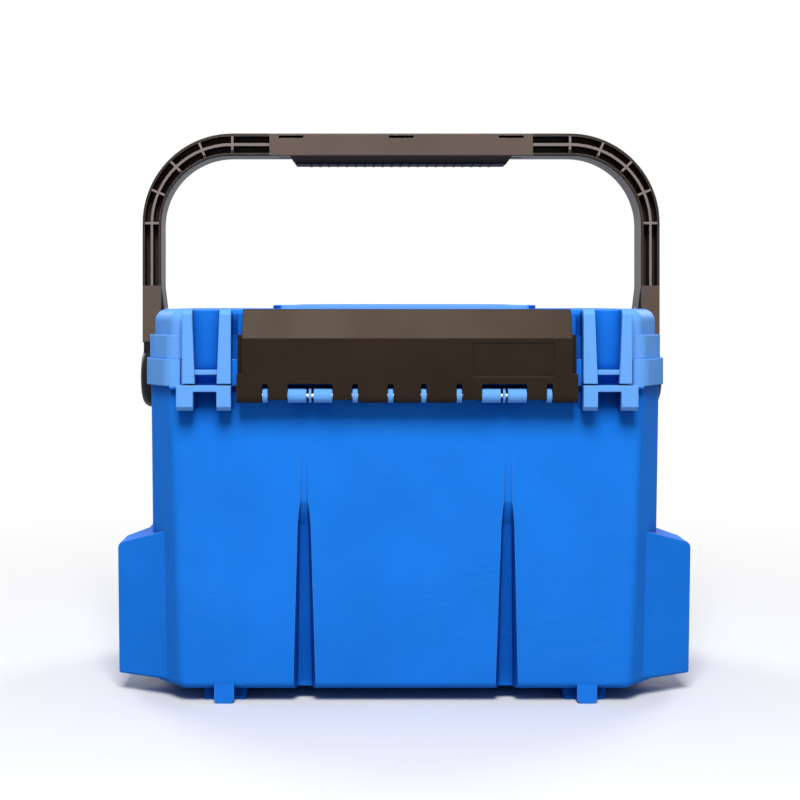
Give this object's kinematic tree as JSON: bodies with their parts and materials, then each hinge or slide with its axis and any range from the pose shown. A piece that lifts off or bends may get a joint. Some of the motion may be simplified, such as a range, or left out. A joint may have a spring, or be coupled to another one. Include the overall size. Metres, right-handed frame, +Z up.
{
  "type": "tackle box",
  "caption": "Upright moulded tackle box with a fluted tub, side pods, feet, a rear-hinged lid, a wide front latch plate and a ribbed swing handle on round side hubs.",
  "frame": {"origin": "on the floor, under the middle of the box", "axes": "+Z up, the front with the latch faces -Y, +X to the right seen from the front"},
  "size_m": [0.476, 0.335, 0.475],
  "materials": {
    "shell_plastic": "satin moulded blue",
    "latch_plastic": "satin dark brown",
    "handle_plastic": "matte dark brown",
    "grip_rubber": "soft matte black",
    "hub_plastic": "satin black",
    "pin_steel": "ground",
    "screw_steel": "zinc plated"
  },
  "bodies": {
    "base": {"body_shell": "shell_plastic", "latch_pin_left": "pin_steel", "latch_pin_right": "pin_steel", "lid_hinge_pin_left": "pin_steel", "lid_hinge_pin_right": "pin_steel", "pivot_washer_left": "hub_plastic", "pivot_washer_right": "hub_plastic"},
    "lid": {"lid_shell": "shell_plastic"},
    "latch": {"latch_plate": "latch_plastic"},
    "handle": {"handle_arch": "handle_plastic", "handle_grip": "grip_rubber", "handle_hub_left": "hub_plastic", "handle_hub_right": "hub_plastic", "pivot_retainer_left": "hub_plastic", "pivot_retainer_right": "hub_plastic", "pivot_screw_left": "screw_steel", "pivot_screw_right": "screw_steel", "hub_screw_lower_left": "screw_steel", "hub_screw_lower_right": "screw_steel", "hub_screw_upper_left": "screw_steel", "hub_screw_upper_right": "screw_steel"}
  },
  "joints": [
    {"name": "lid_hinge", "type": "hinge", "parent": "base", "child": "lid", "pos_m": [0, 0.1615, 0.28], "axis": [-1, 0, 0], "range_deg": [0, 30]},
    {"name": "latch_hinge", "type": "hinge", "parent": "base", "child": "latch", "pos_m": [0, -0.1615, 0.2517], "axis": [1, 0, 0], "range_deg": [0, 125]},
    {"name": "handle_fold", "type": "hinge", "parent": "base", "child": "handle", "pos_m": [0, 0, 0.26], "axis": [1, 0, 0], "range_deg": [-125, 125]}
  ]
}
